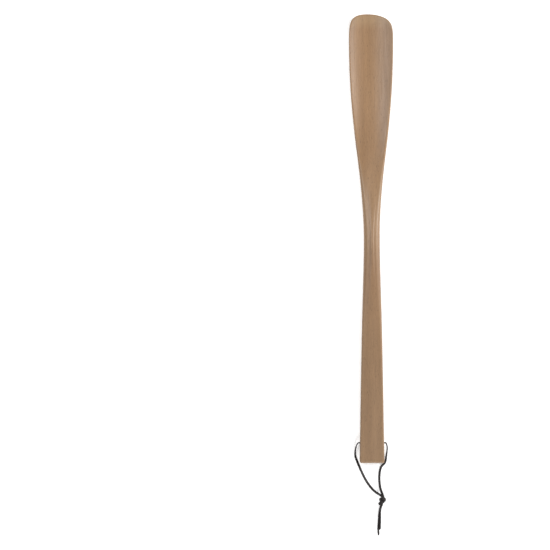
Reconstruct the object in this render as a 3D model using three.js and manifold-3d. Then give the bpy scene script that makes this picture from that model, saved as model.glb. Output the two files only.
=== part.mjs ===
// A long wooden shoehorn with a leather hanging lace, in millimetres.
// It lies scoop up on a flat surface. +Y runs from the handle's end to the blade's tip, +X across and
// +Z up out of the scoop. The origin is on the surface, under the middle of the wooden body.
import * as THREE from 'three';
import { mergeVertices } from 'three/addons/utils/BufferGeometryUtils.js';
import Module from 'manifold-3d';

const wasm = await Module();
wasm.setup();

// The wooden body. Each list holds [distance from the handle's end, value, slope there].
// SPINE is the height of the section's middle. CROWN swells the faces' centres, DISH raises the edges.
// ROUNDING is how far in from the outline the edge's rounding starts, ROUNDED_SHARE how much of the
// thickness it takes.
const LENGTH = 500;
const WIDTH = [
  [0, 27.5, -0.031], [150, 22.3, -0.042], [250, 17.8, 0],
  [345, 32.3, 0.256], [465, 49.1, 0], [500, 48.8, -0.01],
];
const SPINE = [
  [0, 4.7, 0.045], [150, 11.45, 0.045], [240, 14, 0], [290, 10.9, -0.1],
  [350, 6.1, -0.062], [430, 2.3, -0.018], [500, 3.4, 0.05],
];
const THICKNESS = [
  [0, 9.4, 0], [140, 9.4, 0], [240, 13, 0], [300, 9.4, -0.08],
  [345, 6.4, -0.05], [405, 4, -0.02], [500, 2.6, -0.01],
];
const CROWN = [
  [0, 0, 0], [60, 0, 0], [160, 0.5, 0.004], [240, 0.7, 0],
  [345, 0.8, 0], [410, 0.5, 0], [500, 0.3, 0],
];
const DISH = [[0, 0, 0], [262, 0, 0], [345, 2.8, 0.055], [430, 6.2, 0.01], [500, 6, -0.01]];
const ROUNDING = [
  [0, 1.8, 0], [60, 2.1, 0.01], [150, 3.4, 0.03], [240, 6.8, 0],
  [345, 3.2, -0.02], [420, 1.8, 0], [500, 1.4, 0],
];
const ROUNDED_SHARE = [
  [0, 0.32, 0], [60, 0.4, 0.001], [150, 0.58, 0.003],
  [240, 0.88, 0], [360, 0.95, 0], [500, 0.97, 0],
];
const HANDLE_CORNER = 2;
const LEAST_CORNER = 0.2;

// The tip's outline is half a superellipse, a little fuller on one side.
const TIP_START = 465;
const TIP_ALONG_POWER = 5;
const TIP_ACROSS_POWER = 2.13;
const TIP_CORNER = 0.9;
const TIP_BEND_START = 430;
const TIP_LEAN = 3.6;

// How finely the body is faceted, and how close two points are one.
const CORNER_ROWS = 3;
const BODY_ROWS = 42;
const TIP_ROWS = 8;
const COLUMNS = 10;
const ROUNDING_STEPS = 3;
const WELD = 1e-4;

// The cross bore that the lace runs through, with a flared mouth on each side of the handle.
const BORE_FROM_END = 22.5;
const BORE_RADIUS = 1.8;
const BORE_SIDES = 12;
const MOUTH_RADIUS = 2.6;
const MOUTH_DEPTH = 0.8;
const CUTTER_OVERRUN = 2;

// The lace is a flat leather thong, drawn here as a plain tube that lies on the surface.
const LACE_RADIUS = 1;
const LACE_SIDES = 8;
const LACE_STEP = 2.6;
const GAP = 0.3;
const KNOT_CENTRE = [11.5, -291.8, 3.6];
const KNOT_SIZE = [8.4, 8.8, 7];
const KNOT_FACETS = [16, 10];

const LEFT_STRAND = [
  [-14.4, -227.5, 5.7], [-15.2, -227.6, 5.7], [-16.5, -229.1, 5.4], [-17.6, -231.8, 4.9],
  [-18.3, -234.9, 4.2], [-18.6, -238, 3.4], [-18.6, -241.5, 2.4], [-17.8, -245, 1.7],
  [-16.4, -248.5, 1.4], [-14.7, -252.9, 1.3], [-12.9, -257.1, 1.2], [-10.9, -261.4, 1.2],
  [-8.7, -265.9, 1.2], [-6.4, -270.1, 1.2], [-3.8, -274.1, 1.2], [-0.8, -278, 1.3],
  [2.6, -281.6, 1.5], [6.2, -284.5, 1.9], [8.9, -286.4, 2.4],
];
const RIGHT_STRAND = [
  [14.4, -227.5, 5.7], [15.2, -227.6, 5.7], [16.3, -229.2, 5.4], [16.9, -231.7, 4.9],
  [17, -234.4, 4.2], [16.8, -237.4, 3.4], [16.4, -240.6, 2.5], [16, -243.7, 1.8],
  [15.6, -246.5, 1.4], [14.8, -249.2, 1.3], [13.8, -251, 1.2], [12.2, -252.5, 1.2],
  [10.6, -254.4, 1.2], [9.4, -257.2, 1.2], [8.7, -261, 1.2], [8.3, -265.3, 1.2], [8.3, -269.7, 1.2],
  [8.7, -274.2, 1.3], [9.3, -278.6, 1.5], [9.9, -282.5, 2], [10.4, -285.8, 2.6],
];
const LONG_TAIL = [
  [9.4, -297, 2.6], [8.7, -299.4, 2.2], [8.1, -302.2, 1.9], [7.7, -305.3, 1.7], [7.5, -308.5, 1.5],
  [7.4, -311.9, 1.4], [7.2, -315.4, 1.3], [6.9, -318.9, 1.2], [6.7, -322.5, 1.2],
  [6.8, -326.4, 1.1], [7.1, -330.5, 1.1],
];
const SHORT_TAIL = [
  [12, -297.2, 2.6], [11.5, -299.6, 2.2], [10.9, -302.3, 1.9], [10.4, -305.2, 1.7],
  [10.1, -308.2, 1.5], [9.9, -311.3, 1.4], [9.7, -314.5, 1.3], [9.5, -317.7, 1.2],
  [9.3, -320.8, 1.1], [9.2, -324.1, 1.1],
];

// ---- The wooden body's outline and section ----

// The value at a distance from the handle's end, on the smooth curve through a list of stations.
function along(stations, at) {
  let k = 0;
  while (k < stations.length - 2 && at > stations[k + 1][0]) k += 1;
  const [start, low, lowSlope] = stations[k];
  const [end, high, highSlope] = stations[k + 1];
  const span = end - start;
  const t = (at - start) / span;
  const rise = t * t * (3 - 2 * t);
  return low + (high - low) * rise + span * (lowSlope * t * (1 - t) ** 2 - highSlope * t * t * (1 - t));
}

// How far forward the tip's outline reaches at a share across its half width.
function tipReach(share, inset) {
  const depth = LENGTH - TIP_START - inset;
  return TIP_START + depth * (1 - Math.abs(share) ** TIP_ACROSS_POWER) ** (1 / TIP_ALONG_POWER);
}

// The share of its full half width that the outline keeps at a distance inside the tip.
function tipShare(at, inset) {
  const u = Math.max(0, (at - TIP_START) / (LENGTH - TIP_START - inset));
  return (1 - u ** TIP_ALONG_POWER) ** (1 / TIP_ACROSS_POWER);
}

// The rows of the body from the handle's end to the tip: where each starts at its sides.
function rows() {
  const list = [];
  for (let i = 0; i < CORNER_ROWS; i += 1) {
    const turn = (i / CORNER_ROWS) * (Math.PI / 2);
    list.push({ corner: turn, at: HANDLE_CORNER * (1 - Math.cos(turn)) });
  }
  for (let i = 0; i < BODY_ROWS; i += 1) {
    list.push({ at: HANDLE_CORNER + (i / BODY_ROWS) * (TIP_START - HANDLE_CORNER) });
  }
  const cornerAt = tipReach(TIP_CORNER, 0);
  for (let i = 0; i <= TIP_ROWS; i += 1) {
    list.push({ at: TIP_START + (cornerAt - TIP_START) * Math.sin((i / TIP_ROWS) * (Math.PI / 2)) });
  }
  return list;
}

// The point of the outline's plan on a row, a share of the way across, drawn in by an inset.
function planPoint(row, share, inset) {
  const half = along(WIDTH, row.at) / 2 - inset;
  if (row.corner !== undefined) {
    const radius = Math.max(HANDLE_CORNER - inset, LEAST_CORNER);
    const side = half - radius * (1 - Math.sin(row.corner));
    return { x: side * share, at: inset + radius * (1 - Math.cos(row.corner)) };
  }
  const reach = tipReach(TIP_CORNER, 0);
  const scale = (LENGTH - TIP_START - inset) / (LENGTH - TIP_START);
  const sideAt = row.at > TIP_START ? TIP_START + (row.at - TIP_START) * scale : row.at;
  const side = tipShare(sideAt, inset);
  const bend = Math.max(0, (row.at - TIP_BEND_START) / (reach - TIP_BEND_START)) ** 2;
  const arch = tipReach(side * share, inset) - tipReach(side, inset);
  const at = sideAt + bend * arch;
  const lean = at > TIP_START ? TIP_LEAN * ((at - TIP_START) / (LENGTH - TIP_START)) ** TIP_ALONG_POWER : 0;
  return { x: half * side * share - lean, at };
}

// The height of the section's middle surface, which the dish raises towards both edges.
function middle(x, at) {
  const half = along(WIDTH, at) / 2;
  return along(SPINE, at) + along(DISH, at) * (x / half) ** 2;
}

// A point of the face above (side 1) or below (side -1) the middle surface, inside the rounded edge.
function facePoint(row, share, side, tipward) {
  const plan = planPoint(row, share, along(ROUNDING, row.at));
  const crown = along(CROWN, plan.at) * (1 - share * share) * (1 - tipward * tipward);
  const lift = along(THICKNESS, plan.at) / 2 + crown;
  return [plan.x, plan.at - LENGTH / 2, middle(plan.x, plan.at) + side * lift];
}

// A point of the rounded edge: turn runs from 0 at the face to a right angle at the outline.
function edgePoint(row, share, side, turn) {
  const plan = planPoint(row, share, along(ROUNDING, row.at) * (1 - Math.sin(turn)));
  const half = along(THICKNESS, plan.at) / 2;
  const lift = half * (1 - along(ROUNDED_SHARE, plan.at) * (1 - Math.cos(turn)));
  return [plan.x, plan.at - LENGTH / 2, middle(plan.x, plan.at) + side * lift];
}

// ---- Solids ----

function geometryOf(points, triangles) {
  const geometry = new THREE.BufferGeometry();
  geometry.setAttribute('position', new THREE.Float32BufferAttribute(points.flat(), 3));
  geometry.setIndex(triangles.flat());
  return geometry;
}

// The two faces as grids of rows and columns, joined round their edges by the rounded edge's rings.
function woodBlank() {
  const list = rows();
  const last = list.length - 1;
  const share = (c) => (2 * c) / COLUMNS - 1;
  const points = [];
  const triangles = [];
  const quad = (a, b, c, d) => triangles.push([a, b, c], [a, c, d]);

  const grids = [1, -1].map((side) => list.map((row, i) => {
    const line = [];
    for (let c = 0; c <= COLUMNS; c += 1) {
      line.push(points.push(facePoint(row, share(c), side, i === last ? 1 : 0)) - 1);
    }
    return line;
  }));
  for (let i = 0; i < last; i += 1) {
    for (let c = 0; c < COLUMNS; c += 1) {
      const [top, under] = grids;
      quad(top[i][c], top[i][c + 1], top[i + 1][c + 1], top[i + 1][c]);
      quad(under[i][c], under[i + 1][c], under[i + 1][c + 1], under[i][c + 1]);
    }
  }

  // The outline, anticlockwise from the handle's left corner, as [row, column] places.
  const outline = [];
  for (let c = 0; c < COLUMNS; c += 1) outline.push([0, c]);
  for (let i = 0; i < last; i += 1) outline.push([i, COLUMNS]);
  for (let c = COLUMNS; c > 0; c -= 1) outline.push([last, c]);
  for (let i = last; i > 0; i -= 1) outline.push([i, 0]);

  const rings = [outline.map(([i, c]) => grids[0][i][c])];
  for (const side of [1, -1]) {
    for (let k = 1; k <= ROUNDING_STEPS; k += 1) {
      const step = side > 0 ? k : ROUNDING_STEPS + 1 - k;
      const turn = (step / ROUNDING_STEPS) * (Math.PI / 2);
      rings.push(outline.map(([i, c]) => points.push(edgePoint(list[i], share(c), side, turn)) - 1));
    }
  }
  rings.push(outline.map(([i, c]) => grids[1][i][c]));
  for (let k = 0; k + 1 < rings.length; k += 1) {
    for (let n = 0; n < outline.length; n += 1) {
      const next = (n + 1) % outline.length;
      quad(rings[k][n], rings[k + 1][n], rings[k + 1][next], rings[k][next]);
    }
  }
  return geometryOf(points, triangles);
}

function solidOf(geometry) {
  const bare = geometry.clone();
  bare.deleteAttribute('normal');
  bare.deleteAttribute('uv');
  const merged = mergeVertices(bare, WELD);
  return new wasm.Manifold(new wasm.Mesh({
    numProp: 3,
    vertProperties: new Float32Array(merged.attributes.position.array),
    triVerts: new Uint32Array(merged.index.array),
  }));
}

function geometryFrom(solid) {
  const mesh = solid.getMesh();
  const geometry = new THREE.BufferGeometry();
  geometry.setAttribute('position', new THREE.BufferAttribute(mesh.vertProperties, 3));
  geometry.setIndex(new THREE.BufferAttribute(mesh.triVerts, 1));
  geometry.computeVertexNormals();
  return geometry;
}

// A round cutter along X whose ends flare to the bore's mouths.
function boreCutter(height) {
  const side = along(WIDTH, BORE_FROM_END) / 2;
  const end = side + CUTTER_OVERRUN;
  const flared = BORE_RADIUS + ((MOUTH_RADIUS - BORE_RADIUS) * (CUTTER_OVERRUN + MOUTH_DEPTH)) / MOUTH_DEPTH;
  const profile = [
    [0, -end],
    [flared, -end],
    [BORE_RADIUS, MOUTH_DEPTH - side],
    [BORE_RADIUS, side - MOUTH_DEPTH],
    [flared, end],
    [0, end],
  ].map(([r, y]) => new THREE.Vector2(r, y));
  const cutter = new THREE.LatheGeometry(profile, BORE_SIDES);
  cutter.rotateZ(-Math.PI / 2);
  cutter.translate(0, BORE_FROM_END - LENGTH / 2, height);
  return cutter;
}

function tube(route) {
  const path = new THREE.CatmullRomCurve3(route.map((p) => new THREE.Vector3(...p)), false, 'centripetal');
  const section = new THREE.Shape();
  for (let k = 0; k < LACE_SIDES; k += 1) {
    const turn = ((k + 0.5) / LACE_SIDES) * 2 * Math.PI;
    const place = [LACE_RADIUS * Math.cos(turn), LACE_RADIUS * Math.sin(turn)];
    if (k === 0) section.moveTo(...place);
    else section.lineTo(...place);
  }
  const steps = Math.ceil(path.getLength() / (LACE_STEP * LACE_RADIUS));
  return new THREE.ExtrudeGeometry(section, { steps, extrudePath: path });
}

function knotBall() {
  const ball = new THREE.SphereGeometry(0.5, ...KNOT_FACETS);
  ball.scale(...KNOT_SIZE);
  ball.translate(...KNOT_CENTRE);
  return ball;
}

// ---- Assembly ----

const wood = new THREE.MeshStandardMaterial({ color: 0xa88868, roughness: 0.55, metalness: 0 });
const leather = new THREE.MeshStandardMaterial({ color: 0x33291f, roughness: 0.7, metalness: 0 });

function named(name, geometry, material) {
  const mesh = new THREE.Mesh(geometry, material);
  mesh.name = name;
  return mesh;
}

const blank = woodBlank();
blank.computeBoundingBox();
const lowest = blank.boundingBox.min.z;
blank.translate(0, 0, -lowest);
const boreHeight = along(SPINE, BORE_FROM_END) - lowest;
const body = solidOf(blank).subtract(solidOf(boreCutter(boreHeight)));
const boreLine = [LEFT_STRAND[0][0] + GAP, RIGHT_STRAND[0][0] - GAP].map(
  (x) => [x, BORE_FROM_END - LENGTH / 2, boreHeight],
);

const shoehorn = new THREE.Group();
shoehorn.add(
  named('wooden_body', geometryFrom(body), wood),
  named('lace_in_bore', tube(boreLine), leather),
  named('lace_left_strand', tube(LEFT_STRAND), leather),
  named('lace_right_strand', tube(RIGHT_STRAND), leather),
  named('lace_knot', knotBall(), leather),
  named('lace_long_tail', tube(LONG_TAIL), leather),
  named('lace_short_tail', tube(SHORT_TAIL), leather),
);

export default shoehorn;
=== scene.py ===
"""A long wooden shoehorn with a leather hanging lace, lying scoop up on a white table.

Metres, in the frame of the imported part: +Y runs from the handle's end to the blade's tip, +X across and +Z up
out of the scoop. The origin is on the table, under the middle of the wooden body.
"""
import math

import bmesh
import bpy
import numpy as np
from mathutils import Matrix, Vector


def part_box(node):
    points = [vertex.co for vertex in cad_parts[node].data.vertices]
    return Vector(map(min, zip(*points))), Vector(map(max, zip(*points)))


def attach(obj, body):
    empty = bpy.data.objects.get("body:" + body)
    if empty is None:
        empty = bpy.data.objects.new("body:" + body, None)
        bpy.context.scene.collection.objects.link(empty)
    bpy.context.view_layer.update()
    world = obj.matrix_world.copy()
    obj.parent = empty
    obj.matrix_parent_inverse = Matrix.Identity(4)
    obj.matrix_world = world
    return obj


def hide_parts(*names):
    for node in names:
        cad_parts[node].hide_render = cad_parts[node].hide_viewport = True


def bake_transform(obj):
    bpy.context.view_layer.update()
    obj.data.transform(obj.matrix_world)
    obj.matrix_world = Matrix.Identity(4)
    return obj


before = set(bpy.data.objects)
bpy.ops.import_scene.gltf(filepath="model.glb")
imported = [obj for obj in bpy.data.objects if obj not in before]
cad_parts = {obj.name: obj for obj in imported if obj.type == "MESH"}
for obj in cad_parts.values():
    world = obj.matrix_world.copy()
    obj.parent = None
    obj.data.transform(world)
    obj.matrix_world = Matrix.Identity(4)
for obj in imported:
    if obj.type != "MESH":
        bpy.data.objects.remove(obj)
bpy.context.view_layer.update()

WOOD_LOW, WOOD_HIGH = (np.array(corner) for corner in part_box("wooden_body"))
HANDLE_END = WOOD_LOW[1]
LENGTH = WOOD_HIGH[1] - WOOD_LOW[1]

# The camera looks straight down on the piece, which lies to the right of the view's middle.
VIEW_WIDTH = 0.6119
VIEW_CENTRE = (-0.1075, -0.0404, 0.008)
VIEW_ROLL = math.radians(-0.15)
CAMERA_LENS = 150
SENSOR_WIDTH = 36

# The wooden body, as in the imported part. Each list holds (distance from the handle's end, value, slope).
# SPINE is the height of the section's middle. CROWN swells the faces' centres, DISH raises the edges.
# ROUNDING is how far in from the outline the edge's rounding starts, ROUNDED_SHARE how much of the
# thickness it takes.
WIDTH = (
    (0, 0.0275, -0.031), (0.15, 0.0223, -0.042), (0.25, 0.0178, 0),
    (0.345, 0.0323, 0.256), (0.465, 0.0491, 0), (0.5, 0.0488, -0.01),
)
SPINE = (
    (0, 0.0047, 0.045), (0.15, 0.01145, 0.045), (0.24, 0.014, 0), (0.29, 0.0109, -0.1),
    (0.35, 0.0061, -0.062), (0.43, 0.0023, -0.018), (0.5, 0.0034, 0.05),
)
THICKNESS = (
    (0, 0.0094, 0), (0.14, 0.0094, 0), (0.24, 0.013, 0), (0.3, 0.0094, -0.08),
    (0.345, 0.0064, -0.05), (0.405, 0.004, -0.02), (0.5, 0.0026, -0.01),
)
CROWN = (
    (0, 0, 0), (0.06, 0, 0), (0.16, 0.0005, 0.004), (0.24, 0.0007, 0),
    (0.345, 0.0008, 0), (0.41, 0.0005, 0), (0.5, 0.0003, 0),
)
DISH = ((0, 0, 0), (0.262, 0, 0), (0.345, 0.0028, 0.055), (0.43, 0.0062, 0.01), (0.5, 0.006, -0.01))
ROUNDING = (
    (0, 0.0018, 0), (0.06, 0.0021, 0.01), (0.15, 0.0034, 0.03), (0.24, 0.0068, 0),
    (0.345, 0.0032, -0.02), (0.42, 0.0018, 0), (0.5, 0.0014, 0),
)
ROUNDED_SHARE = (
    (0, 0.32, 0), (0.06, 0.4, 1), (0.15, 0.58, 3), (0.24, 0.88, 0), (0.36, 0.95, 0), (0.5, 0.97, 0),
)
HANDLE_CORNER = 0.002
LEAST_CORNER = 0.0002

# The tip's outline is half a superellipse, a little fuller on one side.
TIP_START = 0.465
TIP_ALONG_POWER = 5
TIP_ACROSS_POWER = 2.13
TIP_CORNER = 0.9
TIP_BEND_START = 0.43
TIP_LEAN = 0.0036

# How finely the body is drawn, and how close two of its points are one.
CORNER_ROWS = 6
BODY_ROWS = 168
TIP_ROWS = 36
COLUMNS = 30
ROUNDING_STEPS = 8
WELD = 1e-7
SHARP_ANGLE = 35

# The cross bore that the lace runs through, with a flared mouth on each side of the handle.
BORE_FROM_END = 0.0225
BORE_RADIUS = 0.0018
BORE_SIDES = 48
MOUTH_RADIUS = 0.0026
MOUTH_DEPTH = 0.0008

# The lace is a flat leather thong: its section, with the turns in degrees that draw each rounded corner,
# and the routes of its free lengths outside the knot.
LACE_WIDTH = 0.0026
LACE_THICKNESS = 0.0013
LACE_CORNER = 0.0004
LACE_CORNER_TURNS = (0, 30, 60, 90)
LACE_STEP = 0.0005
LEFT_STRAND = (
    (-0.0144, -0.2275, 0.0057), (-0.0152, -0.2276, 0.0057), (-0.0165, -0.2291, 0.0054),
    (-0.0176, -0.2318, 0.0049), (-0.0183, -0.2349, 0.0042), (-0.0186, -0.238, 0.0034),
    (-0.0186, -0.2415, 0.0024), (-0.0178, -0.245, 0.0017), (-0.0164, -0.2485, 0.0014),
    (-0.0147, -0.2529, 0.0013), (-0.0129, -0.2571, 0.0012), (-0.0109, -0.2614, 0.0012),
    (-0.0087, -0.2659, 0.0012), (-0.0064, -0.2701, 0.0012), (-0.0038, -0.2741, 0.0012),
    (-0.0008, -0.278, 0.0013), (0.0026, -0.2816, 0.0015), (0.0062, -0.2845, 0.0019),
    (0.0089, -0.2864, 0.0024),
)
RIGHT_STRAND = (
    (0.0144, -0.2275, 0.0057), (0.0152, -0.2276, 0.0057), (0.0163, -0.2292, 0.0054),
    (0.0169, -0.2317, 0.0049), (0.017, -0.2344, 0.0042), (0.0168, -0.2374, 0.0034),
    (0.0164, -0.2406, 0.0025), (0.016, -0.2437, 0.0018), (0.0156, -0.2465, 0.0014),
    (0.0148, -0.2492, 0.0013), (0.0138, -0.251, 0.0012), (0.0122, -0.2525, 0.0012),
    (0.0106, -0.2544, 0.0012), (0.0094, -0.2572, 0.0012), (0.0087, -0.261, 0.0012),
    (0.0083, -0.2653, 0.0012), (0.0083, -0.2697, 0.0012), (0.0087, -0.2742, 0.0013),
    (0.0093, -0.2786, 0.0015), (0.0099, -0.2825, 0.002), (0.0104, -0.2858, 0.0026),
)
LONG_TAIL = (
    (0.0094, -0.297, 0.0026), (0.0087, -0.2994, 0.0022), (0.0081, -0.3022, 0.0019),
    (0.0077, -0.3053, 0.0017), (0.0075, -0.3085, 0.0015), (0.0074, -0.3119, 0.0014),
    (0.0072, -0.3154, 0.0013), (0.0069, -0.3189, 0.0012), (0.0067, -0.3225, 0.0012),
    (0.0068, -0.3264, 0.0011), (0.0071, -0.3305, 0.0011),
)
SHORT_TAIL = (
    (0.012, -0.2972, 0.0026), (0.0115, -0.2996, 0.0022), (0.0109, -0.3023, 0.0019),
    (0.0104, -0.3052, 0.0017), (0.0101, -0.3082, 0.0015), (0.0099, -0.3113, 0.0014),
    (0.0097, -0.3145, 0.0013), (0.0095, -0.3177, 0.0012), (0.0093, -0.3208, 0.0011),
    (0.0092, -0.3241, 0.0011),
)

# The knot: an overhand knot in the two strands laid flat on each other, and where it lies.
BUNDLE = 0.0024
KNOT_SIZE = 1.0
KNOT_ROLL = math.radians(246)
KNOT_LEAN = math.radians(-4)
KNOT_SHIFT = (-0.0003, -0.0008)
# How it is tightened: the loose curve it starts from, and each pull's moves as shares of a step or a gap.
KNOT_SEED_REACH = 2.2
KNOT_SEED_SCALE = 0.0016
KNOT_SEED_SQUASH = 0.4
KNOT_SEED_POINTS = 400
KNOT_POINTS = 96
KNOT_PULLS = 900
KNOT_PULL = 0.12
KNOT_GATHER = 0.98
KNOT_EVENINGS = 12
KNOT_PUSH = 0.5
KNOT_SMOOTHING = 0.12
# How far apart along the bundle two of its points push each other, and how near they touch, in bundles.
KNOT_APART = 1.6
KNOT_TOUCH = 1.1
TINY = 1e-12

# How the flat side leans along each free length, in degrees: 0 stands the thong on edge, 90 lays it flat.
LEFT_LEAN = (0, 5, 20, 48, 62, 55, 66, 80)
RIGHT_LEAN = (0, 5, 15, 40, 58, 66, 60, 78)
TAIL_LEAN = (0, 8, 24, 32, 36, 30)
# The tails' distance apart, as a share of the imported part's, at the knot and at their cut ends.
TAILS_PRESSED = 0.47
TAILS_APART = 0.75
TAILS_ASIDE = 0.0006
# How far a cut end slants, how far the free lengths reach into the knot, and where the tails bend beside it.
TAIL_CUT = 0.5
INSIDE_KNOT = 0.004
CLEAR_OF_TABLE = 0.00005

# Colours, in linear light.
WOOD_DARK = (0.238, 0.14, 0.072)
WOOD_LIGHT = (0.294, 0.177, 0.094)
WOOD_RUBBED = (0.35, 0.225, 0.132)
GRIP_TONE = (0.88, 0.91, 0.96)
REACH_TONE = (0.96, 0.97, 0.99)
# The waist's darker tone is painted shade and the neck's paler tone is painted light, where these slopes face
# away from and towards the light.
WAIST_PAINTED_SHADE = (0.9, 0.885, 0.89)
NECK_PAINTED_LIGHT = (1.08, 1.1, 1.12)
BLADE_TONE = (1.0, 0.975, 0.935)
# The tip's paler tone is a painted highlight where its upturned end catches the light.
TIP_PAINTED_HIGHLIGHT = (1.1, 1.17, 1.2)
LEATHER_DARK = (0.007, 0.0052, 0.005)
LEATHER_LIGHT = (0.016, 0.0115, 0.0105)
LEATHER_RUBBED = (0.036, 0.028, 0.025)
TABLE_WHITE = (0.9, 0.9, 0.9, 1)

# Noises, each as (stretch, scale, detail, roughness, distortion). The wood's are drawn out along the grain.
EVEN = (1, 1, 1)
WOOD_BANDS = ((1, 0.06, 1), 90, 3, 0.5, 0.4)
WOOD_STREAKS = ((1, 0.02, 1), 800, 3, 0.5, 0)
WOOD_FIBRES = ((1, 0.025, 1), 3000, 2, 0.6, 0)
WOOD_FLECKS = ((1, 0.1, 1), 2200, 1, 0.5, 0)
WOOD_WEAR = (EVEN, 260, 4, 0.6, 0)
LEATHER_BLOTCHES = (EVEN, 320, 4, 0.6, 0)
LEATHER_RUBBING = (EVEN, 1400, 3, 0.6, 0)
LEATHER_GRAIN_SCALE = 2600.0

# Ramps, each as stops of (value in, tone or amount out).
BAND_TONES = ((0.3, WOOD_DARK), (0.7, WOOD_LIGHT))
STREAK_TONES = ((0.3, 0.93), (0.7, 1.06))
FIBRE_TONES = ((0.3, 0.9), (0.7, 1.08))
FLECK_TONES = ((0.26, 0.6), (0.36, 1.0))
# Tones along the body: a darker grip, painted shade at the waist, painted light on the neck and a painted
# highlight at the tip.
LENGTHWISE_TONES_AND_PAINTED_LIGHT = (
    (0.05, GRIP_TONE), (0.31, REACH_TONE), (0.4, WAIST_PAINTED_SHADE), (0.45, WAIST_PAINTED_SHADE), (0.53, NECK_PAINTED_LIGHT),
    (0.62, NECK_PAINTED_LIGHT), (0.7, BLADE_TONE), (0.965, BLADE_TONE), (0.985, TIP_PAINTED_HIGHLIGHT),
)
EDGE_WEAR = ((0.505, 0.0), (0.535, 0.8))
PATCHY_WEAR = ((0.35, 0.25), (0.65, 1.0))
WOOD_ROUGHNESS = ((0.3, 0.44), (0.7, 0.36))
LEATHER_TONES = ((0.3, LEATHER_DARK), (0.72, LEATHER_LIGHT))
LEATHER_WEAR = ((0.55, 0.0), (0.8, 0.55))
LEATHER_ROUGHNESS = ((0.3, 0.62), (0.7, 0.45))

# Bumps, each as (strength, height in metres), and how strongly each surface shines.
STREAK_BUMP = (0.3, 0.0002)
FIBRE_BUMP = (0.25, 0.0001)
GRAIN_BUMP = (0.5, 0.00008)
RUB_BUMP = (0.3, 0.0001)
WOOD_SHINE = 0.5
LEATHER_SHINE = 0.3

TABLE_WIDTH = 6
TABLE_ROUGHNESS = 0.8
TABLE_GLOW = 0.4
WORLD_STRENGTH = 0.3
# Each light's name, size across, place and power.
LIGHTS = (
    ("right", 1.2, (2.2, 0.9, 1.3), 68),
    ("upper_left", 1.2, (-1.1, 0.6, 2.0), 24),
    ("handle_side", 1.2, (0.3, -2.0, 1.4), 28),
)


def make_camera():
    data = bpy.data.cameras.new("camera")
    data.lens = CAMERA_LENS
    data.sensor_width = SENSOR_WIDTH
    camera = bpy.data.objects.new("camera", data)
    camera.location = Vector(VIEW_CENTRE) + Vector((0, 0, VIEW_WIDTH * CAMERA_LENS / SENSOR_WIDTH))
    camera.rotation_euler = (0, 0, VIEW_ROLL)
    bpy.context.scene.collection.objects.link(camera)
    bpy.context.scene.camera = camera


def unit(vectors):
    return vectors / np.linalg.norm(vectors, axis=-1, keepdims=True)


def resampled(points, step):
    """Rows about step apart on a smooth curve through points, whose first three columns are places."""
    ends = 2 * points[0] - points[1], 2 * points[-1] - points[-2]
    rows = np.vstack([ends[0], points, ends[1]])
    knots = np.concatenate([[0], np.cumsum(np.sqrt(np.linalg.norm(np.diff(rows[:, :3], axis=0), axis=1)))])
    out = []
    for k in range(1, len(rows) - 2):
        length = np.linalg.norm(rows[k + 1, :3] - rows[k, :3])
        count = max(1, round(length / step))
        t = knots[k] + (knots[k + 1] - knots[k]) * np.arange(count)[:, None] / count
        out.append(catmull_rom(rows[k - 1:k + 3], knots[k - 1:k + 3], t))
    return np.vstack([*out, points[-1]])


def catmull_rom(p, at, t):
    """Rows at t on the smooth curve that passes four rows p at the values at, between the middle two."""
    def mix(a, b, start, end):
        return (a * (end - t) + b * (t - start)) / (end - start)

    first = mix(p[0], p[1], at[0], at[1])
    second = mix(p[1], p[2], at[1], at[2])
    third = mix(p[2], p[3], at[2], at[3])
    low = mix(first, second, at[0], at[2])
    high = mix(second, third, at[1], at[3])
    return mix(low, high, at[1], at[2])


def loose_knot():
    """A loose overhand knot, as points an even step apart on a polynomial curve, and that step."""
    t = np.linspace(-KNOT_SEED_REACH, KNOT_SEED_REACH, KNOT_SEED_POINTS)
    lengthwise = -(t**5 - 10 * t) * KNOT_SEED_SQUASH
    seed = np.stack([t**3 - 3 * t, lengthwise, t**4 - 4 * t**2], axis=1) * KNOT_SEED_SCALE
    walked = np.concatenate([[0], np.cumsum(np.linalg.norm(np.diff(seed, axis=0), axis=1))])
    even = np.linspace(0, walked[-1], KNOT_POINTS)
    points = np.stack([np.interp(even, walked, seed[:, k]) for k in range(3)], axis=1)
    return points, walked[-1] / (KNOT_POINTS - 1)


def even_out(p, step):
    """Moves each pair of neighbours to a step apart, every other pair first and then the pairs between."""
    index = np.arange(len(p))
    for start in (0, 1):
        a, b = index[start:-1:2], index[start + 1::2]
        gap = p[b] - p[a]
        size = np.linalg.norm(gap, axis=1, keepdims=True)
        shift = gap * (size - step) / size / 2
        p[a] += shift
        p[b] -= shift


def tightened_knot():
    """The centreline of an overhand knot pulled tight along Y, over the stretch that touches itself."""
    p, step = loose_knot()
    index = np.arange(KNOT_POINTS)
    apart = np.abs(index[:, None] - index[None, :]) * step > KNOT_APART * BUNDLE
    pull = np.array([0, KNOT_PULL * step, 0])
    gather = (KNOT_GATHER, 1, KNOT_GATHER)
    for _ in range(KNOT_PULLS):
        p[0] = (p[0] + pull) * gather
        p[-1] = (p[-1] - pull) * gather
        for _ in range(KNOT_EVENINGS):
            even_out(p, step)
        between = p[:, None] - p[None]
        distance = np.linalg.norm(between, axis=2) + TINY
        push = np.where(apart, np.clip(BUNDLE - distance, 0, None), 0) / distance
        p += KNOT_PUSH * np.einsum("ij,ijk->ik", push, between)
        p[1:-1] += KNOT_SMOOTHING * (p[:-2] + p[2:] - 2 * p[1:-1])
    touching = np.flatnonzero(np.any(apart & (distance < KNOT_TOUCH * BUNDLE), axis=1))
    return p[touching[0]:touching[-1] + 1]


def turned(angle):
    """The matrix that turns rows of two coordinates."""
    return np.array([[math.cos(angle), math.sin(angle)], [-math.sin(angle), math.cos(angle)]])


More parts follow.
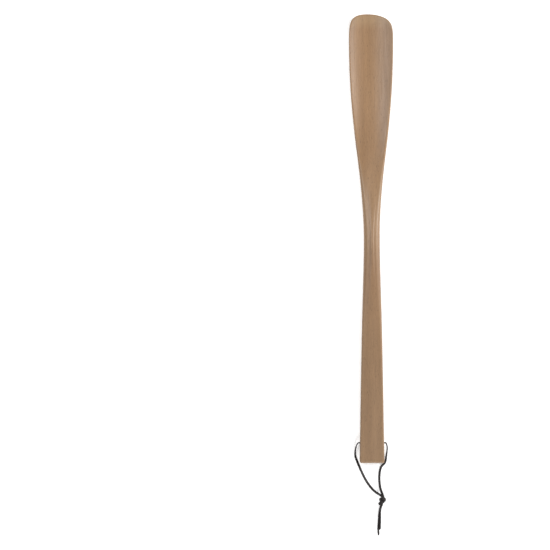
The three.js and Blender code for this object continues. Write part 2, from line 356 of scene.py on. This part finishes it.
def placed_knot():
    """The bundle's centreline inside the knot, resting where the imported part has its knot."""
    curve = tightened_knot() * KNOT_SIZE
    curve[:, [0, 2]] = curve[:, [0, 2]] @ turned(KNOT_ROLL)
    curve[:, :2] = curve[:, :2] @ turned(KNOT_LEAN)
    low, high = (np.array(corner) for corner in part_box("lace_knot"))
    curve += (low + high - curve.min(axis=0) - curve.max(axis=0)) / 2
    curve[:, :2] += KNOT_SHIFT
    curve[:, 2] += low[2] + BUNDLE / 2 - curve[:, 2].min()
    return curve


def tangents(points):
    return unit(np.gradient(points, axis=0))


def carried_normals(points, first, last):
    """Normals of a ribbon that starts facing first, turns no more than it must, and ends facing last."""
    t = tangents(points)
    normals = [first]
    for direction in t:
        n = normals[-1] - direction * np.dot(normals[-1], direction)
        normals.append(n / np.linalg.norm(n))
    normals = np.array(normals[1:])
    end = unit(last - t[-1] * np.dot(last, t[-1]))
    turn = math.atan2(np.dot(np.cross(normals[-1], end), t[-1]), np.dot(normals[-1], end))
    angle = np.linspace(0, turn, len(points))[:, None]
    return normals * np.cos(angle) + np.cross(t, normals) * np.sin(angle)


def leaned_normals(points, angles):
    """Normals of a ribbon whose flat side leans: 0 stands it on edge, a right angle lays it flat."""
    t = tangents(points)
    side = unit(np.cross((0, 0, 1), t))
    shares = np.linspace(0, 1, len(points))
    lean = np.interp(shares, np.linspace(0, 1, len(angles)), np.radians(angles))[:, None]
    return side * np.cos(lean) + np.cross(t, side) * np.sin(lean)


def framed(path):
    """A path's places, and its directions, normals and sideways directions at them."""
    places, normals = path[:, :3], path[:, 3:]
    t = tangents(places)
    normals = unit(normals - t * np.sum(normals * t, axis=1, keepdims=True))
    return places, t, normals, np.cross(t, normals)


def rested(path):
    """The path with each row raised, where it has to be, until the thong clears the table."""
    places, _, normals, across = framed(path)
    half = np.abs(across[:, 2]) * LACE_WIDTH / 2 + np.abs(normals[:, 2]) * LACE_THICKNESS / 2
    height = np.maximum(places[:, 2], half + CLEAR_OF_TABLE)
    return np.column_stack([places[:, :2], height, normals])


def gathered_tails():
    """The two tails' routes, pressed together at the knot and spreading towards their cut ends."""
    out = []
    for tail in (LONG_TAIL, SHORT_TAIL):
        route = np.array(tail)
        share = np.linspace(0, 1, len(route))
        middle = sum(np.interp(route[:, 1], *columns(other)) for other in (LONG_TAIL, SHORT_TAIL)) / 2
        keep = TAILS_PRESSED + (TAILS_APART - TAILS_PRESSED) * share
        route[:, 0] = middle + (route[:, 0] - middle) * keep - TAILS_ASIDE * (1 - share)
        out.append(route)
    return out


def columns(route):
    """A route's places along Y, rising, and its places across at them."""
    rows = np.array(route)[::-1]
    return rows[:, 1], rows[:, 0]


def section():
    """The thong's rounded section as (across its width, through its thickness), anticlockwise."""
    across, through = LACE_WIDTH / 2 - LACE_CORNER, LACE_THICKNESS / 2 - LACE_CORNER
    corners = ((across, through), (-across, through), (-across, -through), (across, -through))
    out = []
    for quarter, (x, y) in enumerate(corners):
        for turn in np.radians(90 * quarter + np.array(LACE_CORNER_TURNS)):
            out.append((x + LACE_CORNER * math.cos(turn), y + LACE_CORNER * math.sin(turn)))
    return np.array(out)


def mesh_object(name, points, faces, material):
    """A smooth-shaded object with one material."""
    mesh = bpy.data.meshes.new(name)
    mesh.from_pydata([tuple(p) for p in points], [], faces)
    mesh.polygons.foreach_set("use_smooth", [True] * len(mesh.polygons))
    mesh.materials.append(material)
    obj = bpy.data.objects.new(name, mesh)
    bpy.context.scene.collection.objects.link(obj)
    return obj


def tube_faces(rings, sides):
    """The faces of a closed tube of rings, each with its number of sides."""
    faces = [tuple(range(sides))[::-1], tuple(range((rings - 1) * sides, rings * sides))]
    for i in range(rings - 1):
        for k in range(sides):
            a, b = i * sides + k, i * sides + (k + 1) % sides
            faces.append((a, b, b + sides, a + sides))
    return faces


def ribbon(name, path, material, cut=0):
    """A length of thong along rows of (place, normal). cut slants its last end."""
    places, t, normals, across = framed(path)
    outline = section()
    rings = places[:, None] + across[:, None] * outline[None, :, :1] + normals[:, None] * outline[None, :, 1:]
    rings[-1] += t[-1] * outline[:, :1] * cut
    return mesh_object(name, rings.reshape(-1, 3), tube_faces(len(rings), len(outline)), material)


def lace_paths():
    """The two lengths of thong from the bore to their cut ends, as rows of (place, normal).

    Each comes with the rows at which it is parted: inside the knot's way in and inside its way out.
    """
    # One length lies on the other where they go into the knot, and they come out side by side.
    curve = placed_knot()
    normals = carried_normals(curve, np.array([0, 0, 1.0]), np.array([1.0, 0, 0]))
    long_tail, short_tail = gathered_tails()
    inside = round(INSIDE_KNOT / LACE_STEP)
    paths = []
    for strand, strand_lean, tail, side in (
        (LEFT_STRAND, LEFT_LEAN, long_tail, -1),
        (RIGHT_STRAND, RIGHT_LEAN, short_tail, 1),
    ):
        # The rows nearest to the knot give way to its own curve.
        strand, tail = np.array(strand)[:-2], tail[1:]
        stacked = curve + normals * side * LACE_THICKNESS / 2
        rows = [
            np.hstack([strand, leaned_normals(strand, strand_lean)]),
            np.hstack([stacked, normals]),
            np.hstack([tail, leaned_normals(tail, TAIL_LEAN)]),
        ]
        path = rested(resampled(np.vstack(rows), LACE_STEP))
        into = np.argmin(np.linalg.norm(path[:, :3] - stacked[0], axis=1))
        out = np.argmin(np.linalg.norm(path[:, :3] - stacked[-1], axis=1))
        paths.append((path, into + inside, out - inside))
    return paths


def free_length(name, path, material, node, cut=0):
    """A free length of the thong, in place of the imported part's node, which it hides."""
    piece = ribbon(name, path, material, cut)
    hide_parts(node)
    return piece


def make_lace(material):
    """The lace's seven lengths: through the bore, two strands, two turns in the knot and two tails."""
    (left, left_in, left_out), (right, right_in, right_out) = lace_paths()
    low, high = (np.array(corner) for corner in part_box("lace_in_bore"))
    middle = (low[1:] + high[1:]) / 2
    ends = np.array([(left[0, 0], *middle, 0, 1, 0), (right[0, 0], *middle, 0, 1, 0)])
    through = ribbon("lace_through_bore", resampled(ends, LACE_STEP), material)
    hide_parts("lace_in_bore")
    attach(through, "lace_loop")

    for name, path, node in (
        ("lace_strand_left", left[:left_in + 1], "lace_left_strand"),
        ("lace_strand_right", right[:right_in + 1], "lace_right_strand"),
    ):
        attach(free_length(name, path, material, node), "lace_loop")

    turns = [
        ribbon("lace_knot_left", left[left_in:left_out + 1], material),
        ribbon("lace_knot_right", right[right_in:right_out + 1], material),
    ]
    for turn in turns:
        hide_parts("lace_knot")
        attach(turn, "lace_loop")

    for name, path, node in (
        ("lace_tail_long", left[left_out:], "lace_long_tail"),
        ("lace_tail_short", right[right_out:], "lace_short_tail"),
    ):
        tail = free_length(name, path, material, node, TAIL_CUT)
        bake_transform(tail)


# ---- The wooden body ----


def along(stations, at):
    """The value at distances from the handle's end, on the smooth curve through a list of stations."""
    at = np.asarray(at, float)
    starts, values, slopes = np.array(stations, float).T
    k = np.clip(np.searchsorted(starts, at) - 1, 0, len(starts) - 2)
    span = starts[k + 1] - starts[k]
    t = (at - starts[k]) / span
    rise = t * t * (3 - 2 * t)
    bend = slopes[k] * t * (1 - t) ** 2 - slopes[k + 1] * t * t * (1 - t)
    return values[k] + (values[k + 1] - values[k]) * rise + span * bend


def tip_reach(share, inset):
    """How far forward the tip's outline reaches at a share across its half width."""
    depth = LENGTH - TIP_START - inset
    return TIP_START + depth * np.clip(1 - np.abs(share) ** TIP_ACROSS_POWER, 0, 1) ** (1 / TIP_ALONG_POWER)


def tip_share(at, inset):
    """The share of its full half width that the outline keeps at a distance inside the tip."""
    u = np.clip((at - TIP_START) / (LENGTH - TIP_START - inset), 0, 1)
    return (1 - u ** TIP_ALONG_POWER) ** (1 / TIP_ACROSS_POWER)


def wood_rows():
    """The body's rows from end to tip, as (distance at the sides, turn round the handle end's corner)."""
    rows = [(HANDLE_CORNER * (1 - math.cos(turn)), turn)
            for turn in np.arange(CORNER_ROWS) / CORNER_ROWS * math.pi / 2]
    rows += [(at, None) for at in np.linspace(HANDLE_CORNER, TIP_START, BODY_ROWS, endpoint=False)]
    corner_at = float(tip_reach(TIP_CORNER, 0))
    for i in range(TIP_ROWS + 1):
        rows.append((TIP_START + (corner_at - TIP_START) * math.sin(i / TIP_ROWS * math.pi / 2), None))
    return rows


def plan_points(row, share, inset):
    """A row's places in plan, as (x, distance from the handle's end), an inset in from the outline."""
    at, corner = row
    half = along(WIDTH, at) / 2 - inset
    if corner is not None:
        radius = max(HANDLE_CORNER - inset, LEAST_CORNER)
        side = half - radius * (1 - math.sin(corner))
        return side * share, np.full_like(share, inset + radius * (1 - math.cos(corner)))
    reach = tip_reach(TIP_CORNER, 0)
    side_at = at
    if at > TIP_START:
        side_at = TIP_START + (at - TIP_START) * (LENGTH - TIP_START - inset) / (LENGTH - TIP_START)
    side = tip_share(side_at, inset)
    bend = max(0, (at - TIP_BEND_START) / (reach - TIP_BEND_START)) ** 2
    along_at = side_at + bend * (tip_reach(side * share, inset) - tip_reach(side, inset))
    tipward = np.clip((along_at - TIP_START) / (LENGTH - TIP_START), 0, None)
    return half * side * share - TIP_LEAN * tipward ** TIP_ALONG_POWER, along_at


def raised(x, at, lift):
    """Points at a lift off the section's middle surface, which the dish raises towards both edges."""
    middle = along(SPINE, at) + along(DISH, at) * (x / (along(WIDTH, at) / 2)) ** 2
    return np.stack([x, at + HANDLE_END, middle + lift], axis=-1)


def face_points(row, share, side, tipward):
    """Points across a face. The crown fades out towards the outline and, with tipward at 1, at the tip."""
    x, at = plan_points(row, share, float(along(ROUNDING, row[0])))
    lift = along(THICKNESS, at) / 2 + along(CROWN, at) * (1 - share**2) * (1 - tipward**2)
    return raised(x, at, side * lift)


def edge_points(row, share, side, turn):
    """Points of the rounded edge: turn runs from 0 at the face to a right angle at the outline."""
    x, at = plan_points(row, share, float(along(ROUNDING, row[0])) * (1 - math.sin(turn)))
    lift = along(THICKNESS, at) / 2 * (1 - along(ROUNDED_SHARE, at) * (1 - math.cos(turn)))
    return raised(x, at, side * lift)


def wood_mesh():
    """The two faces as grids of rows and columns, joined round their edges by the rounded edge's rings."""
    rows = wood_rows()
    last = len(rows) - 1
    share = np.linspace(-1, 1, COLUMNS + 1)
    points, faces = [], []

    def put(layer):
        first = sum(len(block) for block in points)
        points.append(layer)
        return first + np.arange(len(layer))

    grids = []
    for side in (1, -1):
        layer = [face_points(row, share, side, float(i == last)) for i, row in enumerate(rows)]
        grids.append(put(np.vstack(layer)).reshape(len(rows), COLUMNS + 1))
    for i in range(last):
        for c in range(COLUMNS):
            for grid, order in zip(grids, ((0, 1, 2, 3), (0, 3, 2, 1))):
                corners = grid[i, c], grid[i, c + 1], grid[i + 1, c + 1], grid[i + 1, c]
                faces.append(tuple(int(corners[k]) for k in order))

    outline = [(0, c) for c in range(COLUMNS)] + [(i, COLUMNS) for i in range(last)]
    outline += [(last, c) for c in range(COLUMNS, 0, -1)] + [(i, 0) for i in range(last, 0, -1)]
    places = np.array(outline)
    rings = [grids[0][places[:, 0], places[:, 1]]]
    for side, turns in ((1, range(1, ROUNDING_STEPS + 1)), (-1, range(ROUNDING_STEPS, 0, -1))):
        for k in turns:
            turn = k / ROUNDING_STEPS * math.pi / 2
            layer = np.stack([edge_points(row, share, side, turn) for row in rows])
            rings.append(put(layer[places[:, 0], places[:, 1]]))
    rings.append(grids[1][places[:, 0], places[:, 1]])
    for near, far in zip(rings, rings[1:]):
        for n in range(len(outline)):
            m = (n + 1) % len(outline)
            faces.append(tuple(int(v) for v in (near[n], far[n], far[m], near[m])))
    points = np.vstack(points)
    points[:, 2] -= points[:, 2].min()
    return points, faces


def bore_cutter():
    """A round cutter along X through the bore, whose ends flare to its mouths."""
    low, high = (np.array(corner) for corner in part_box("lace_in_bore"))
    height = (low[2] + high[2]) / 2
    side = float(along(WIDTH, BORE_FROM_END)) / 2
    overrun = MOUTH_RADIUS
    slope = (MOUTH_RADIUS - BORE_RADIUS) / MOUTH_DEPTH
    flared = BORE_RADIUS + slope * (overrun + MOUTH_DEPTH)
    stations = [(-side - overrun, flared), (MOUTH_DEPTH - side, BORE_RADIUS),
                (side - MOUTH_DEPTH, BORE_RADIUS), (side + overrun, flared)]
    turns = np.arange(BORE_SIDES) / BORE_SIDES * 2 * math.pi
    points = [(x, HANDLE_END + BORE_FROM_END + r * math.cos(a), height + r * math.sin(a))
              for x, r in stations for a in turns]
    return points, tube_faces(len(stations), BORE_SIDES)


def make_wood(material):
    """The wooden body, bored for the lace."""
    wood = mesh_object("wooden_shoehorn", *wood_mesh(), material)
    cutter = mesh_object("bore_cutter", *bore_cutter(), material)
    for obj in (wood, cutter):
        clean = bmesh.new()
        clean.from_mesh(obj.data)
        bmesh.ops.remove_doubles(clean, verts=clean.verts, dist=WELD)
        bmesh.ops.recalc_face_normals(clean, faces=clean.faces)
        clean.to_mesh(obj.data)
        clean.free()
    cut = wood.modifiers.new("bore", "BOOLEAN")
    cut.object = cutter
    cut.solver = "EXACT"
    bpy.context.view_layer.update()
    evaluated = wood.evaluated_get(bpy.context.evaluated_depsgraph_get())
    bored = bpy.data.meshes.new_from_object(evaluated)
    wood.modifiers.clear()
    wood.data = bored
    bpy.data.objects.remove(cutter)
    bored.polygons.foreach_set("use_smooth", [True] * len(bored.polygons))
    bored.set_sharp_from_angle(angle=math.radians(SHARP_ANGLE))
    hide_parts("wooden_body")
    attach(wood, "wood")


# ---- Materials ----


class Nodes:
    """A material's node tree, filled one node at a time."""

    # A colour mix's sockets: its factor and its two colours, and its result.
    MIX_INPUTS = (0, 6, 7)
    MIX_RESULT = 2

    def __init__(self, name):
        self.material = bpy.data.materials.new(name)
        self.material.use_nodes = True
        self.tree = self.material.node_tree
        self.tree.nodes.clear()

    def feed(self, node, key, value):
        """Sets a node's input to a value, or links it to another node's output."""
        if isinstance(value, bpy.types.NodeSocket):
            self.tree.links.new(value, node.inputs[key])
        else:
            node.inputs[key].default_value = value

    def add(self, kind, inputs=(), **settings):
        node = self.tree.nodes.new(kind)
        for key, value in settings.items():
            setattr(node, key, value)
        for key, value in dict(inputs).items():
            self.feed(node, key, value)
        return node

    def ramp(self, value, *stops):
        """A colour ramp through stops of (position, colour or grey)."""
        node = self.add("ShaderNodeValToRGB", {"Fac": value})
        stops = [(at, colour if isinstance(colour, tuple) else (colour,) * 3) for at, colour in stops]
        elements = node.color_ramp.elements
        while len(elements) < len(stops):
            elements.new(0.5)
        for element, (at, colour) in zip(elements, stops):
            element.position = at
            element.color = (*colour, 1)
        return node.outputs["Color"]

    def mixed(self, how, amount, a, b):
        node = self.add("ShaderNodeMix", data_type="RGBA", blend_type=how)
        for key, value in zip(self.MIX_INPUTS, (amount, a, b)):
            self.feed(node, key, value)
        return node.outputs[self.MIX_RESULT]

    def noise(self, place, stretch, scale, detail, roughness, distortion):
        if stretch != EVEN:
            place = self.add("ShaderNodeMapping", {"Vector": place, "Scale": stretch}).outputs["Vector"]
        settings = {"Scale": scale, "Detail": detail, "Roughness": roughness, "Distortion": distortion}
        return self.add("ShaderNodeTexNoise", {"Vector": place, **settings}).outputs["Fac"]

    def bump(self, height, strength, distance, under=None):
        inputs = {"Height": height, "Strength": strength, "Distance": distance}
        if under is not None:
            inputs["Normal"] = under
        return self.add("ShaderNodeBump", inputs).outputs["Normal"]

    def finished(self, **inputs):
        shader = self.add("ShaderNodeBsdfPrincipled", {key.replace("_", " "): v for key, v in inputs.items()})
        self.add("ShaderNodeOutputMaterial", {"Surface": shader.outputs["BSDF"]})
        return self.material


def wood_material():
    """Oiled hardwood: fine grain with flecks and soft bands, rubbed edges, a darker grip, painted shade at the
    waist, painted light on the neck and a painted highlight at the tip.
    """
    n = Nodes("oiled_wood")
    place = n.add("ShaderNodeTexCoord").outputs["Object"]
    along_y = n.add("ShaderNodeSeparateXYZ", {"Vector": place}).outputs["Y"]
    whole_length = {"From Min": HANDLE_END, "From Max": -HANDLE_END}
    bladeward = n.add("ShaderNodeMapRange", {"Value": along_y, **whole_length}).outputs["Result"]
    bands = n.noise(place, *WOOD_BANDS)
    streaks = n.noise(place, *WOOD_STREAKS)
    fibres = n.noise(place, *WOOD_FIBRES)
    flecks = n.noise(place, *WOOD_FLECKS)
    tone = n.ramp(bands, *BAND_TONES)
    # The lengthwise ramp darkens the grip and paints shade at the waist, light on the neck and a highlight at
    # the tip.
    for value, stops in (
        (streaks, STREAK_TONES), (fibres, FIBRE_TONES), (flecks, FLECK_TONES), (bladeward, LENGTHWISE_TONES_AND_PAINTED_LIGHT),
    ):
        tone = n.mixed("MULTIPLY", 1, tone, n.ramp(value, *stops))
    edges = n.ramp(n.add("ShaderNodeNewGeometry").outputs["Pointiness"], *EDGE_WEAR)
    worn = n.mixed("MULTIPLY", 1, edges, n.ramp(n.noise(place, *WOOD_WEAR), *PATCHY_WEAR))
    tone = n.mixed("MIX", worn, tone, (*WOOD_RUBBED, 1))
    roughness = n.ramp(streaks, *WOOD_ROUGHNESS)
    surface = n.bump(fibres, *FIBRE_BUMP, n.bump(streaks, *STREAK_BUMP))
    return n.finished(Base_Color=tone, Roughness=roughness, Normal=surface, Specular_IOR_Level=WOOD_SHINE)


def leather_material():
    """Dark waxed leather with a fine grain, rubbed paler on the high spots."""
    n = Nodes("dark_leather")
    place = n.add("ShaderNodeTexCoord").outputs["Object"]
    grain = n.add("ShaderNodeTexVoronoi", {"Vector": place, "Scale": LEATHER_GRAIN_SCALE}).outputs["Distance"]
    blotches = n.noise(place, *LEATHER_BLOTCHES)
    rubbing = n.noise(place, *LEATHER_RUBBING)
    tone = n.ramp(blotches, *LEATHER_TONES)
    tone = n.mixed("MIX", n.ramp(rubbing, *LEATHER_WEAR), tone, (*LEATHER_RUBBED, 1))
    roughness = n.ramp(blotches, *LEATHER_ROUGHNESS)
    surface = n.bump(rubbing, *RUB_BUMP, n.bump(grain, *GRAIN_BUMP))
    return n.finished(Base_Color=tone, Roughness=roughness, Normal=surface, Specular_IOR_Level=LEATHER_SHINE)


def table_material():
    n = Nodes("white_table")
    glow = {"Emission_Color": TABLE_WHITE, "Emission_Strength": TABLE_GLOW}
    return n.finished(Base_Color=TABLE_WHITE, Roughness=TABLE_ROUGHNESS, **glow)


# ---- The table and the light ----


def make_table():
    half = TABLE_WIDTH / 2
    points = [(-half, -half, 0), (half, -half, 0), (half, half, 0), (-half, half, 0)]
    table = mesh_object("table", points, [(0, 1, 2, 3)], table_material())


def soft_light(name, size, place, power):
    data = bpy.data.lights.new(name, "AREA")
    data.shape = "DISK"
    data.size = size
    data.energy = power
    light = bpy.data.objects.new(name, data)
    light.location = place
    light.rotation_euler = (-Vector(place)).to_track_quat("-Z", "Y").to_euler()
    bpy.context.scene.collection.objects.link(light)


def make_light():
    world = bpy.data.worlds.new("studio")
    world.use_nodes = True
    world.node_tree.nodes["Background"].inputs["Color"].default_value = (1, 1, 1, 1)
    world.node_tree.nodes["Background"].inputs["Strength"].default_value = WORLD_STRENGTH
    bpy.context.scene.world = world
    bpy.context.scene.view_settings.view_transform = "Standard"
    for light in LIGHTS:
        soft_light(*light)


make_camera()
make_lace(leather_material())
make_wood(wood_material())
make_table()
make_light()
